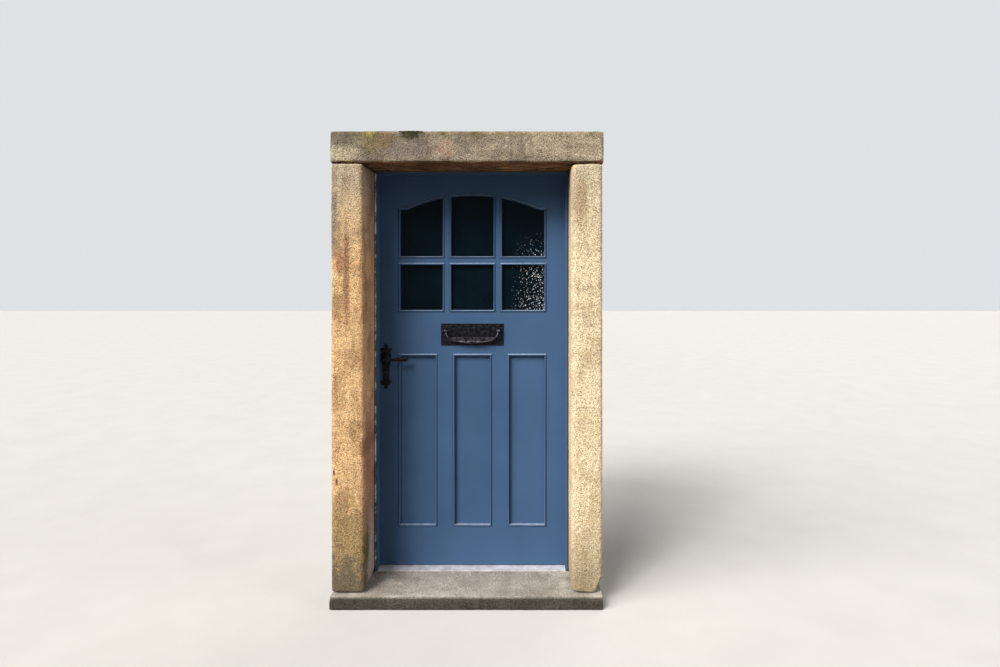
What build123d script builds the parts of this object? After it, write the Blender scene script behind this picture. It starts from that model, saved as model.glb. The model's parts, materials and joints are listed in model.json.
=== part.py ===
from build123d import *
import os
from math import asin, cos, radians, sin, sqrt, tan

os.makedirs("parts", exist_ok=True)

# A painted cottage door in its timber frame and dressed stone surround.
# Millimetres. X runs to the right seen from outside, Y into the house, Z up.
# The origin is at the middle of the doorstep's underside, level with the stone face.

# Stone surround
step_height = 60
step_front = 30
step_round = 10
opening_width = 916
opening_height = 1896
stone_depth = 340
reveal_depth = 240
stone_outer = 600
lintel_half = 605
lintel_height = 143
jamb_foot_swell = 11
check_width = 44
arris_round = 9
inner_arris_left = 13
inner_arris_right = 22
foot_wear_width = 37
foot_wear_height = 72
foot_wear_depth = 110

# Timber frame
frame_visible = 13
rebate_width = 15
stop_depth = 44
stop_gap = 1
stop_butt = 0.2
frame_arris = 3
sealant_leg = 6

# Sill plate
sill_thickness = 8
sill_lip = 4
sill_nose = 3
sill_back_gap = 4
sill_screw_spread = 390

# Leaf
leaf_thickness = 44
leaf_gap = 3
leaf_floor_gap = 13
stile_width = 100
bottom_rail_height = 182
panel_height = 832
lock_rail_height = 198
muntin_width = 72
bar_width = 42
lower_lite_height = 217
top_rail_crown = 98
arch_drop = 69
arch_radius = 794
arch_ease = 80
shoulder_flat = 2

# Mouldings, grooves and glass
moulding = 11
quirk_depth = 2
quirk_flat = 2
panel_thickness = 12
groove_depth = 10
panel_play = 1
glass_depth = 18
glass_thickness = 4
glass_rebate = 9
glass_play = 2
bead_round = 4

# Fit clearances
running = 0.05
moving_gap = 0.3
screw_length = 20
screw_shank = 2
screw_head = 4

# Hinges
hinge_height = 100
hinge_plate = 2.5
hinge_reach = 30
knuckle_radius = 5.5
knuckle_stand = 6
pin_radius = 3
knuckle_count = 5
hinge_top_margin = 150
hinge_bottom_margin = 225
hinge_screw_pitch = 32

# Lock and lever furniture
backset = 42
spindle_height = 1000
spindle_size = 8
case_thickness = 14
case_wall = 1.5
case_depth = 62
case_above = 38
case_below = 82
forend_thickness = 3
forend_width = 20
forend_over = 20
hub_radius = 9
hub_arm = 17
hub_arm_width = 4
latch_rise = 15
latch_height = 18
latch_throw = 11
tail_height = 5
dead_drop = 38
dead_height = 28
dead_length = 34
dead_throw = 15
keyhole_drop = 60
keyhole_radius = 4
keyhole_slot = 3
keyhole_tail = 12
plate_thickness = 3
plate_top = 77
plate_foot = 146
waist_half = 15
wing_half = 24
body_half = 20
petal_screw_spread = 14
petal_screw_rise = 46
petal_screw_drop = 112
lever_neck = 9
lever_stand = 42
lever_length = 111
boss_radius = 22
boss_rise = 9

# Upper petals of the handle plate: depths below its tip, and reach to each side
petal_reach = 29
tip_widest = 14
tip_notch = 25
petal_crest = 22
petal_point = 28
petal_under = 38
petal_root = 42
wing_top = 52

# Lower petals: heights above its foot, and reach to each side
lower_petal_reach = 25
lower_root = 46
lower_crest = 43
lower_point = 34
lower_under = 25
lower_notch = 22
lower_tip_widest = 12

# Lever arm: share of its length, then half depth, half height and rise as shares of the neck
lever_stations = (
    (-0.06, 0.6, 0.6, 0),
    (0, 1, 1, 0),
    (0.2, 0.6, 0.62, -0.1),
    (0.45, 0.7, 0.8, 0),
    (0.75, 0.75, 1.1, 0.2),
    (0.95, 0.7, 1.05, 0.4),
    (1, 0.4, 0.6, 0.45),
)

# Strike plate
strike_height = 150
strike_width = 24
strike_thickness = 2
keep_extra = 3

# Letterplate and knocker
letter_width = 300
letter_height = 104
letter_thickness = 5
letter_z = 1119
flap_width = 204
flap_height = 46
flap_thickness = 3.5
flap_gap = 1.5
flap_drop = 29
flap_pin_radius = 2
flap_barrel = 4
flap_pin_set = 4
ear_width = 4.5
inner_letter_width = 280
inner_letter_height = 92
inner_letter_thickness = 4
inner_flap_thickness = 2.5
inner_flap_barrel = 3.5
inner_flap_overlap = 6
bolt_radius = 2.5
bolt_spread = 126
knocker_pivot = 126
knocker_rise = 19
knocker_stand = 16
knocker_pin = 3
knocker_arm = 10
knocker_bow = 60
grip_top_drop = 31
grip_thickness = 14
grip_back = 5.5
grip_round = 2
grip_hollow = 13
grip_hollow_depth = 3.5
belly_width_ratio = 0.62
belly_depth_ratio = 0.84
belly_turn_ratio = 0.45
arm_bow_ratio = 0.35
arm_reach_ratio = 1.6
arm_rings = ((0, 0.8), (0.55, 0.9), (1, 1.1))
eye_radius = 7
eye_width = 14
lug_width = 7

# Heights and planes that follow from the sizes
step_top = step_height
opening_half = opening_width / 2
head_stone = step_top + opening_height
stop_half = opening_half - frame_visible
rebate_half = stop_half + rebate_width
frame_half = opening_half + check_width
head_stop = head_stone - frame_visible
head_rebate = head_stop + rebate_width
frame_top = head_stone + check_width
frame_front = reveal_depth
leaf_front = frame_front + stop_depth + stop_gap
leaf_back = leaf_front + leaf_thickness
frame_depth = leaf_back - frame_front
leaf_middle = leaf_front + leaf_thickness / 2
leaf_half = rebate_half - leaf_gap
leaf_bottom = step_top + leaf_floor_gap
leaf_top = head_rebate - leaf_gap
field_half = leaf_half - stile_width
sight_half = field_half - moulding
sight_width = (2 * sight_half - 2 * bar_width) / 3
panel_width = (2 * field_half - 2 * muntin_width) / 3
panel_bottom = leaf_bottom + bottom_rail_height
panel_top = panel_bottom + panel_height
lock_rail_top = panel_top + lock_rail_height
lower_sight = lock_rail_top + moulding
lower_head = lower_sight + lower_lite_height
upper_sight = lower_head + bar_width
crown = leaf_top - top_rail_crown
shoulder = crown - arch_drop
spindle_x = -leaf_half + backset
spindle_z = step_top + spindle_height
letter_mid = step_top + letter_z
hinge_x = rebate_half - leaf_gap / 2
hinge_y = leaf_back + knuckle_stand


def front_plane(y):
    """A plane facing outwards, with X across and Z up."""
    return Plane.XZ.offset(-y)


def bounds(x0, z0, x1, z1):
    """A rectangle from one corner to the opposite one."""
    with Locations(((x0 + x1) / 2, (z0 + z1) / 2)):
        Rectangle(abs(x1 - x0), abs(z1 - z0))


def save(piece, label):
    piece.part.label = label
    export_step(piece.part, f"parts/{label}.step")


# Screw pattern, head flush with the plane it stands in
with BuildPart() as wood_screw:
    with BuildSketch(Plane.XZ):
        with BuildLine():
            Polyline(
                (0, 0),
                (screw_head, 0),
                (screw_shank, -screw_head / 2),
                (screw_shank, -screw_length + screw_shank),
                (0, -screw_length),
                close=True,
            )
        make_face()
    revolve(axis=Axis.Z)


def screws_at(places):
    """Adds a copy of the screw at each plane, sinking against its normal."""
    for place in places:
        add(wood_screw.part.moved(place.location))


# Screws of the sill plate, under the leaf
with BuildPart() as sill_screws:
    for x in (-sill_screw_spread, -sill_screw_spread / 3, sill_screw_spread / 3, sill_screw_spread):
        screws_at([Plane((x, leaf_middle, step_top + sill_thickness))])
save(sill_screws, "sill_screws")

# Screws of the handle plates, through the petals of both plates
with BuildPart() as handle_screws:
    for side in (-1, 1):
        for rise in (petal_screw_rise, -petal_screw_drop):
            x = spindle_x + side * petal_screw_spread
            z = spindle_z + rise
            front = Plane((x, leaf_front - plate_thickness, z), x_dir=(1, 0, 0), z_dir=(0, -1, 0))
            back = Plane((x, leaf_back + plate_thickness, z), x_dir=(1, 0, 0), z_dir=(0, 1, 0))
            screws_at([front, back])
save(handle_screws, "handle_screws")

# Doorstep
with BuildPart() as doorstep:
    with BuildSketch():
        with Locations((0, (stone_depth - step_front) / 2)):
            Rectangle(2 * stone_outer, stone_depth + step_front)
    extrude(amount=step_height)
    fillet(doorstep.edges().filter_by(Axis.X).group_by(Axis.Y)[0].sort_by(Axis.Z)[-1], radius=step_round)
    add(sill_screws.part, mode=Mode.SUBTRACT)
save(doorstep, "doorstep")


def jamb_section(side, swell):
    """Plan of a stone jamb: splayed reveal in front, check for the frame behind."""
    Polygon(
        (side * stone_outer, 0),
        (side * (opening_half - swell), 0),
        (side * opening_half, reveal_depth),
        (side * frame_half, reveal_depth),
        (side * frame_half, stone_depth),
        (side * stone_outer, stone_depth),
        align=None,
    )


# Stone jambs
with BuildPart() as stone_jamb_left:
    with BuildSketch(Plane.XY.offset(step_top)):
        jamb_section(-1, jamb_foot_swell)
    with BuildSketch(Plane.XY.offset(head_stone)):
        jamb_section(-1, 0)
    loft(ruled=True)
    fillet(stone_jamb_left.faces().sort_by(Axis.Y)[0].edges().sort_by(Axis.X)[0], radius=arris_round)
    fillet(stone_jamb_left.faces().sort_by(Axis.Y)[0].edges().sort_by(Axis.X)[-1], radius=inner_arris_left)
save(stone_jamb_left, "stone_jamb_left")

with BuildPart() as stone_jamb_right:
    with BuildSketch(Plane.XY.offset(step_top)):
        jamb_section(1, 0)
    extrude(amount=opening_height)
    fillet(stone_jamb_right.faces().sort_by(Axis.Y)[0].edges().sort_by(Axis.X)[-1], radius=arris_round)
    fillet(stone_jamb_right.faces().sort_by(Axis.Y)[0].edges().sort_by(Axis.X)[0], radius=inner_arris_right)
    with BuildSketch(front_plane(0)):
        Polygon(
            (stone_outer, step_top),
            (stone_outer, step_top + foot_wear_height),
            (stone_outer - foot_wear_width, step_top),
            align=None,
        )
    extrude(amount=-foot_wear_depth, mode=Mode.SUBTRACT)
save(stone_jamb_right, "stone_jamb_right")

# Lintel
with BuildPart() as stone_lintel:
    with BuildSketch(front_plane(0)):
        bounds(-lintel_half, head_stone, lintel_half, head_stone + lintel_height)
    extrude(amount=-stone_depth)
    fillet(stone_lintel.faces().sort_by(Axis.Y)[0].edges(), radius=arris_round)
    with BuildSketch(front_plane(reveal_depth)):
        bounds(-frame_half, head_stone, frame_half, frame_top)
    extrude(amount=-(stone_depth - reveal_depth), mode=Mode.SUBTRACT)
save(stone_lintel, "stone_lintel")


def hinge_heights():
    top = leaf_top - hinge_top_margin - hinge_height / 2
    bottom = leaf_bottom + hinge_bottom_margin + hinge_height / 2
    return {"top": top, "middle": (top + bottom) / 2, "bottom": bottom}


def hinge_screw_planes(x, facing):
    """Three screws in each hinge plate, driven away from the joint."""
    y = leaf_back - hinge_reach / 2
    turn = Plane(origin=(x, y, 0), x_dir=(0, 1, 0), z_dir=(facing, 0, 0))
    places = []
    for z in hinge_heights().values():
        for step in (-1, 0, 1):
            places.append(Plane((x, y, z + step * hinge_screw_pitch), x_dir=turn.x_dir, z_dir=turn.z_dir))
    return places


strike_middle = spindle_z + (latch_rise - dead_drop) / 2
strike_screw_z = (strike_middle - strike_height / 2 + 12, strike_middle + strike_height / 2 - 12)
forend_low = spindle_z - case_below - forend_over
forend_high = spindle_z + case_above + forend_over

# Screws in the frame: hinge plates and strike plate
with BuildPart() as frame_screws:
    screws_at(hinge_screw_planes(rebate_half, -1))
    for z in strike_screw_z:
        screws_at([Plane((-rebate_half, leaf_middle, z), x_dir=(0, 1, 0), z_dir=(1, 0, 0))])
save(frame_screws, "frame_screws")

# Screws in the leaf: hinge plates and lock forend
with BuildPart() as leaf_screws:
    screws_at(hinge_screw_planes(leaf_half, 1))
    for z in (forend_low + forend_over / 2, forend_high - forend_over / 2):
        screws_at([Plane((-leaf_half, leaf_middle, z), x_dir=(0, 1, 0), z_dir=(-1, 0, 0))])
save(leaf_screws, "leaf_screws")


# Arched head of the upper lites: flat shoulders eased into a shallow arc
with BuildSketch() as arched_field:
    with BuildLine():
        arc_half = sqrt(arch_radius**2 - (arch_radius - arch_drop) ** 2)
        ThreePointArc((-arc_half, shoulder), (0, crown), (arc_half, shoulder))
        Polyline(
            (arc_half, shoulder),
            (field_half, shoulder),
            (field_half, lock_rail_top),
            (-field_half, lock_rail_top),
            (-field_half, shoulder),
            (-arc_half, shoulder),
        )
    make_face()
    # The ease can take no more of the shoulder than its flat beside the arc
    ease_room = (field_half - arc_half - shoulder_flat) / tan(asin(arc_half / arch_radius) / 2)
    corners = arched_field.vertices().filter_by_position(Axis.X, -arc_half - 1, arc_half + 1)
    fillet(corners, radius=min(arch_ease, ease_room))


def lite_face(column, upper, grow):
    """One lite's outline, grown from its sight line. Columns run -1, 0, 1."""
    middle = column * (sight_width + bar_width)
    low = upper_sight if upper else lower_sight
    high = crown if upper else lower_head + grow
    with BuildSketch() as lite:
        bounds(middle - sight_width / 2 - grow, low - grow, middle + sight_width / 2 + grow, high)
        if upper and grow == moulding:
            add(arched_field.sketch, mode=Mode.INTERSECT)
        elif upper:
            offset(arched_field.sketch, amount=grow - moulding, kind=Kind.INTERSECTION, mode=Mode.INTERSECT)
    return lite.sketch


lites = {}
for row, upper in (("upper", True), ("lower", False)):
    for side, column in (("left", -1), ("middle", 0), ("right", 1)):
        lites[f"{row}_{side}"] = (column, upper)

panel_columns = {"left": -1, "middle": 0, "right": 1}


def panel_rect(column, grow):
    """One panel's outline, grown from the outer line of its moulding."""
    middle = column * (panel_width + muntin_width)
    half = panel_width / 2 + grow
    bounds(middle - half, panel_bottom - grow, middle + half, panel_top + grow)


# Leaf as one moulded field, from which each timber is cut with its share of the mouldings
with BuildPart() as leaf_field:
    with BuildSketch(front_plane(leaf_front)):
        bounds(-leaf_half, leaf_bottom, leaf_half, leaf_top)
    extrude(amount=-leaf_thickness)
    for column, upper in lites.values():
        with BuildSketch(front_plane(leaf_front)):
            add(lite_face(column, upper, 0))
        extrude(amount=-leaf_thickness, mode=Mode.SUBTRACT)
        with BuildSketch(front_plane(leaf_front)):
            add(lite_face(column, upper, moulding))
        extrude(amount=-quirk_depth, mode=Mode.SUBTRACT)
        with BuildSketch(front_plane(leaf_front + glass_depth)):
            add(lite_face(column, upper, glass_rebate))
        extrude(amount=glass_depth - leaf_thickness, mode=Mode.SUBTRACT)
    for column in panel_columns.values():
        with BuildSketch(front_plane(leaf_front)):
            panel_rect(column, -moulding)
        extrude(amount=-leaf_thickness, mode=Mode.SUBTRACT)
        with BuildSketch(front_plane(leaf_front), front_plane(leaf_back - quirk_depth)):
            panel_rect(column, 0)
        extrude(amount=-quirk_depth, mode=Mode.SUBTRACT)
        with BuildSketch(front_plane(leaf_middle - panel_thickness / 2)):
            panel_rect(column, groove_depth - moulding)
        extrude(amount=-panel_thickness, mode=Mode.SUBTRACT)
    moulded = ShapeList()
    for depth in (leaf_front + quirk_depth, leaf_back - quirk_depth):
        for face in leaf_field.faces().filter_by_position(Axis.Y, depth - 0.01, depth + 0.01):
            for wire in face.inner_wires():
                moulded += wire.edges()
    fillet(moulded, radius=moulding - quirk_flat)


def upright_strips(x0, x1, low, high):
    """An upright with the mouldings on its edges, in the height of the openings beside it."""
    bounds(x0 - moulding, low, x1 + moulding, high)


def side_strip(side, low, high):
    """The moulding that a stile carries along one opening."""
    inner = side * sight_half
    outer = side * (field_half + 1)
    bounds(min(inner, outer), low, max(inner, outer), high)


bar_middle = (sight_width + bar_width) / 2
muntin_middle = (panel_width + muntin_width) / 2


def stile_outline(side):
    inner = side * field_half
    outer = side * leaf_half
    bounds(min(inner, outer), leaf_bottom, max(inner, outer), leaf_top)
    side_strip(side, panel_bottom, panel_top)
    side_strip(side, lock_rail_top, shoulder)


def muntin_outline(side):
    half = muntin_width / 2
    upright_strips(side * muntin_middle - half, side * muntin_middle + half, panel_bottom, panel_top)


def bar_outline(side):
    """A glazing bar, scribed to the arch at its head."""
    middle = side * bar_middle
    with BuildSketch() as bar:
        bounds(middle - bar_width / 2, lock_rail_top, middle + bar_width / 2, crown)
        add(arched_field.sketch, mode=Mode.INTERSECT)
    add(bar.sketch)


def uprights_outline():
    for side in (-1, 1):
        stile_outline(side)
        muntin_outline(side)
        bar_outline(side)


def cross_outline():
    bounds(-sight_half, lower_head, sight_half, upper_sight)


def lock_case_pocket():
    """Room for the lock case and its forend in the edge of the stile."""
    with BuildSketch(Plane.YZ.offset(-leaf_half)) as forend_room:
        with Locations((leaf_middle, (forend_low + forend_high) / 2)):
            Rectangle(forend_width, forend_high - forend_low)
    extrude(forend_room.sketch, amount=forend_thickness, mode=Mode.SUBTRACT)
    with BuildSketch(Plane.YZ.offset(-leaf_half)) as case_room:
        with Locations((leaf_middle, spindle_z + (case_above - case_below) / 2)):
            Rectangle(case_thickness, case_above + case_below)
    extrude(case_room.sketch, amount=forend_thickness + case_depth, mode=Mode.SUBTRACT)


def spindle_and_key_ways(spindle_hole, key_hole, key_slot):
    """Holes for the spindle and the key, on the lock's centre line."""
    with Locations((spindle_x, spindle_z)):
        Circle(spindle_hole)
    with Locations((spindle_x, spindle_z - keyhole_drop)):
        Circle(key_hole)
    with Locations((spindle_x, spindle_z - keyhole_drop - keyhole_tail / 2)):
        Rectangle(key_slot, keyhole_tail)


def hinge_recesses(x, way):
    """Shallow housings that let the hinge plates lie flush."""
    for z in hinge_heights().values():
        with BuildSketch(Plane.YZ.offset(x)) as recess:
            with Locations((leaf_back - hinge_reach / 2, z)):
                Rectangle(hinge_reach, hinge_height)
        extrude(recess.sketch, amount=way * hinge_plate, mode=Mode.SUBTRACT)


# Stiles
with BuildPart() as stile_lock:
    add(leaf_field.part)
    with BuildSketch(front_plane(leaf_front)):
        stile_outline(-1)
    extrude(amount=-leaf_thickness, mode=Mode.INTERSECT)
    lock_case_pocket()
    with BuildSketch(front_plane(leaf_front)):
        spindle_and_key_ways(hub_radius + 2, keyhole_radius + 1, keyhole_slot + 2)
    extrude(amount=-leaf_thickness, mode=Mode.SUBTRACT)
    add(leaf_screws.part, mode=Mode.SUBTRACT)
    add(handle_screws.part, mode=Mode.SUBTRACT)
save(stile_lock, "stile_lock")

with BuildPart() as stile_hinge:
    add(leaf_field.part)
    with BuildSketch(front_plane(leaf_front)):
        stile_outline(1)
    extrude(amount=-leaf_thickness, mode=Mode.INTERSECT)
    hinge_recesses(leaf_half, -1)
    add(leaf_screws.part, mode=Mode.SUBTRACT)
save(stile_hinge, "stile_hinge")


def cut_uprights():
    with BuildSketch(front_plane(leaf_front)) as uprights:
        uprights_outline()
    extrude(uprights.sketch, amount=-leaf_thickness, mode=Mode.SUBTRACT)


# Rails, each fitted between the uprights
with BuildPart() as top_rail:
    add(leaf_field.part)
    with BuildSketch(front_plane(leaf_front)):
        bounds(-leaf_half, shoulder - moulding, leaf_half, leaf_top)
    extrude(amount=-leaf_thickness, mode=Mode.INTERSECT)
    cut_uprights()
save(top_rail, "top_rail")

with BuildPart() as bottom_rail:
    add(leaf_field.part)
    with BuildSketch(front_plane(leaf_front)):
        bounds(-leaf_half, leaf_bottom, leaf_half, panel_bottom + moulding)
    extrude(amount=-leaf_thickness, mode=Mode.INTERSECT)
    cut_uprights()
save(bottom_rail, "bottom_rail")

slot_half = flap_width / 2 + flap_gap + ear_width + 1
flap_top = letter_mid + letter_height / 2 - flap_drop
slot_high = flap_top + flap_barrel + 2
slot_low = flap_top - flap_height - 2 * flap_gap

with BuildPart() as lock_rail:
    add(leaf_field.part)
    with BuildSketch(front_plane(leaf_front)):
        bounds(-leaf_half, panel_top - moulding, leaf_half, lock_rail_top + moulding)
    extrude(amount=-leaf_thickness, mode=Mode.INTERSECT)
    cut_uprights()
    with BuildSketch(front_plane(leaf_front)):
        bounds(-slot_half, slot_low, slot_half, slot_high)
        with Locations((-bolt_spread, letter_mid), (bolt_spread, letter_mid)):
            Circle(bolt_radius)
    extrude(amount=-leaf_thickness, mode=Mode.SUBTRACT)
save(lock_rail, "lock_rail")

# Muntins and glazing bars
for name, side in (("left", -1), ("right", 1)):
    with BuildPart() as muntin:
        add(leaf_field.part)
        with BuildSketch(front_plane(leaf_front)):
            muntin_outline(side)
        extrude(amount=-leaf_thickness, mode=Mode.INTERSECT)
    save(muntin, f"muntin_{name}")

    with BuildPart() as glazing_bar:
        add(leaf_field.part)
        with BuildSketch(front_plane(leaf_front)):
            bar_outline(side)
        extrude(amount=-leaf_thickness, mode=Mode.INTERSECT)
        with BuildSketch(front_plane(leaf_front + glass_depth)):
            cross_outline()
        extrude(amount=glass_depth - leaf_thickness, mode=Mode.SUBTRACT)
    save(glazing_bar, f"glazing_bar_{name}")

# Cross bar, halved behind the two glazing bars
with BuildPart() as cross_bar:
    add(leaf_field.part)
    with BuildSketch(front_plane(leaf_front)):
        cross_outline()
    extrude(amount=-leaf_thickness, mode=Mode.INTERSECT)
    with BuildSketch(front_plane(leaf_front)):
        bar_outline(-1)
        bar_outline(1)
    extrude(amount=-glass_depth, mode=Mode.SUBTRACT)
save(cross_bar, "cross_bar")

# Panels, held in the grooves with play at their edges
for name, column in panel_columns.items():
    with BuildPart() as panel:
        with BuildSketch(front_plane(leaf_middle - panel_thickness / 2)):
            panel_rect(column, groove_depth - moulding - panel_play)
        extrude(amount=-panel_thickness)
    save(panel, f"panel_{name}")

# Panes, and the beads that hold them from the room side
for name, (column, upper) in lites.items():
    with BuildPart() as pane:
        with BuildSketch(front_plane(leaf_front + glass_depth)):
            add(lite_face(column, upper, glass_rebate - glass_play))
        extrude(amount=-glass_thickness)
    save(pane, f"pane_{name}")

with BuildPart() as glazing_beads:
    for column, upper in lites.values():
        with BuildSketch(front_plane(leaf_front + glass_depth + glass_thickness)):
            add(lite_face(column, upper, glass_rebate))
            add(lite_face(column, upper, 0), mode=Mode.SUBTRACT)
        extrude(amount=glass_depth + glass_thickness - leaf_thickness)
    bead_edges = ShapeList()
    for face in glazing_beads.faces().filter_by_position(Axis.Y, leaf_back - 0.01, leaf_back + 0.01):
        for wire in face.inner_wires():
            bead_edges += wire.edges()
    fillet(bead_edges, radius=bead_round)
save(glazing_beads, "glazing_beads")

# Keeps that the latch and the dead bolt enter when the leaf is shut
bolt_width = case_thickness - 2 * case_wall - 2 * moving_gap


def keep_openings():
    with Locations((leaf_middle, spindle_z + latch_rise)):
        Rectangle(bolt_width + 2 * keep_extra, latch_height + 2 * keep_extra)
    with Locations((leaf_middle, spindle_z - dead_drop)):
        Rectangle(bolt_width + 2 * keep_extra, dead_height + 2 * keep_extra)


# Timber frame: a head over two jambs
with BuildPart() as frame_head:
    with BuildSketch(front_plane(frame_front)):
        bounds(-frame_half, head_rebate, frame_half, frame_top)
    extrude(amount=-frame_depth)
save(frame_head, "frame_head")

with BuildPart() as frame_jamb_lock:
    with BuildSketch(front_plane(frame_front)):
        bounds(-frame_half, step_top, -rebate_half, head_rebate)
    extrude(amount=-frame_depth)
    with BuildSketch(Plane.YZ.offset(-rebate_half)):
        with Locations((leaf_middle, strike_middle)):
            Rectangle(strike_width, strike_height)
    extrude(amount=-strike_thickness, mode=Mode.SUBTRACT)
    with BuildSketch(Plane.YZ.offset(-rebate_half)):
        keep_openings()
    extrude(amount=-(dead_throw + keep_extra), mode=Mode.SUBTRACT)
    add(frame_screws.part, mode=Mode.SUBTRACT)
save(frame_jamb_lock, "frame_jamb_lock")

with BuildPart() as frame_jamb_hinge:
    with BuildSketch(front_plane(frame_front)):
        bounds(rebate_half, step_top, frame_half, head_rebate)
    extrude(amount=-frame_depth)
    hinge_recesses(rebate_half, 1)
    add(frame_screws.part, mode=Mode.SUBTRACT)
save(frame_jamb_hinge, "frame_jamb_hinge")

# Stops planted round the inside of the frame, which the shut leaf closes against
with BuildPart() as frame_stops:
    with BuildSketch(front_plane(frame_front)):
        bounds(-rebate_half, head_stop, rebate_half, head_rebate)
        for side in (-1, 1):
            bounds(side * stop_half, step_top, side * rebate_half, head_stop - stop_butt)
    extrude(amount=-stop_depth)
    front_edges = frame_stops.faces().sort_by(Axis.Y)[:3].edges()
    jamb_edges = front_edges.filter_by(Axis.Z).filter_by_position(Axis.X, -stop_half - 1, stop_half + 1)
    head_edge = front_edges.filter_by(Axis.X).filter_by_position(Axis.Z, head_stop - 0.01, head_stop + 0.01)
    fillet(jamb_edges + head_edge, radius=frame_arris)
save(frame_stops, "frame_stops")

# Strike plate, let into the lock jamb
with BuildPart() as strike_plate:
    with BuildSketch(Plane.YZ.offset(-rebate_half)):
        with Locations((leaf_middle, strike_middle)):
            Rectangle(strike_width, strike_height)
        with BuildSketch(mode=Mode.PRIVATE) as keeps:
            keep_openings()
        add(keeps.sketch, mode=Mode.SUBTRACT)
    extrude(amount=-strike_thickness)
    add(frame_screws.part, mode=Mode.SUBTRACT)
save(strike_plate, "strike_plate")

# Sill plate, sloped to shed water
with BuildPart() as sill_plate:
    with BuildSketch(Plane.YZ.offset(-stop_half)):
        with BuildLine():
            Polyline(
                (frame_front - sill_nose, step_top),
                (frame_front - sill_nose, step_top + sill_lip),
                (leaf_front, step_top + sill_thickness),
                (leaf_back - sill_back_gap, step_top + sill_thickness),
                (leaf_back - sill_back_gap, step_top),
                close=True,
            )
        make_face()
    extrude(amount=2 * stop_half)
    add(sill_screws.part, mode=Mode.SUBTRACT)
save(sill_plate, "sill_plate")

# Mastic fillet in the corner between the reveal and the frame
with BuildPart() as frame_sealant:
    for side in (-1, 1):
        with BuildSketch(Plane.XY.offset(step_top)):
            Polygon(
                (side * opening_half, frame_front),
                (side * (opening_half - sealant_leg), frame_front),
                (side * opening_half, frame_front - sealant_leg),
                align=None,
            )
        extrude(amount=opening_height)
    with BuildSketch(Plane.YZ.offset(-opening_half)):
        Polygon(
            (frame_front, head_stone),
            (frame_front, head_stone - sealant_leg),
            (frame_front - sealant_leg, head_stone),
            align=None,
        )
    extrude(amount=2 * opening_half)
    add(stone_jamb_left.part, mode=Mode.SUBTRACT)
save(frame_sealant, "frame_sealant")


def knuckle_span(index):
    """Low end and length of one knuckle, from the hinge's foot."""
    pitch = hinge_height / knuckle_count
    return index * pitch + moving_gap / 2, pitch - moving_gap


def hinge_flap(z, plate_x, first, bore):
    """One half of a butt hinge: its plate, and every second knuckle."""
    low = z - hinge_height / 2
    with BuildSketch(Plane.XY.offset(low)) as plate:
        with Locations((plate_x, leaf_back - hinge_reach / 2)):
            Rectangle(hinge_plate, hinge_reach)
    extrude(plate.sketch, amount=hinge_height)
    for index in range(first, knuckle_count, 2):
        start, length = knuckle_span(index)
        with BuildSketch(Plane.XY.offset(low + start)) as knuckle:
            with Locations((hinge_x, hinge_y)):
                Circle(knuckle_radius)
            with Locations((plate_x, (leaf_back + hinge_y) / 2)):
                Rectangle(hinge_plate, hinge_y - leaf_back)
        extrude(knuckle.sketch, amount=length)
    with BuildSketch(Plane.XY.offset(low)) as pin_hole:
        with Locations((hinge_x, hinge_y)):
            Circle(bore)
    extrude(pin_hole.sketch, amount=hinge_height, mode=Mode.SUBTRACT)


# Butt hinges
for name, z in hinge_heights().items():
    with BuildPart() as frame_flap:
        hinge_flap(z, rebate_half + hinge_plate / 2, 0, pin_radius)
        add(frame_screws.part, mode=Mode.SUBTRACT)
    save(frame_flap, f"hinge_{name}_frame_leaf")

    with BuildPart() as door_flap:
        hinge_flap(z, leaf_half - hinge_plate / 2, 1, pin_radius + running)
        add(leaf_screws.part, mode=Mode.SUBTRACT)
    save(door_flap, f"hinge_{name}_door_leaf")

with BuildPart() as hinge_pins:
    for z in hinge_heights().values():
        with BuildSketch(Plane.XY.offset(z - hinge_height / 2)):
            with Locations((hinge_x, hinge_y)):
                Circle(pin_radius)
        extrude(amount=hinge_height)
    fillet(hinge_pins.edges().filter_by(GeomType.CIRCLE), radius=pin_radius / 4)
save(hinge_pins, "hinge_pins")

# Lock case, open at the forend
case_x = -leaf_half + forend_thickness
with BuildPart() as lock_case:
    with BuildSketch(Plane.YZ.offset(case_x)):
        with Locations((leaf_middle, spindle_z + (case_above - case_below) / 2)):
            Rectangle(case_thickness, case_above + case_below)
    extrude(amount=case_depth)
    offset(amount=-case_wall, openings=lock_case.faces().sort_by(Axis.X)[0])
    with BuildSketch(front_plane(leaf_front)):
        spindle_and_key_ways(hub_radius + running, keyhole_radius, keyhole_slot)
    extrude(amount=-leaf_thickness, mode=Mode.SUBTRACT)
save(lock_case, "lock_case")

with BuildPart() as lock_forend:
    with BuildSketch(Plane.YZ.offset(-leaf_half)):
        with Locations((leaf_middle, (forend_low + forend_high) / 2)):
            Rectangle(forend_width, forend_high - forend_low)
        with Locations((leaf_middle, spindle_z + latch_rise)):
            Rectangle(bolt_width + 2 * moving_gap, latch_height + 2 * moving_gap, mode=Mode.SUBTRACT)
        with Locations((leaf_middle, spindle_z - dead_drop)):
            Rectangle(bolt_width + 2 * moving_gap, dead_height + 2 * moving_gap, mode=Mode.SUBTRACT)
    extrude(amount=forend_thickness)
    add(leaf_screws.part, mode=Mode.SUBTRACT)
save(lock_forend, "lock_forend")

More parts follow.
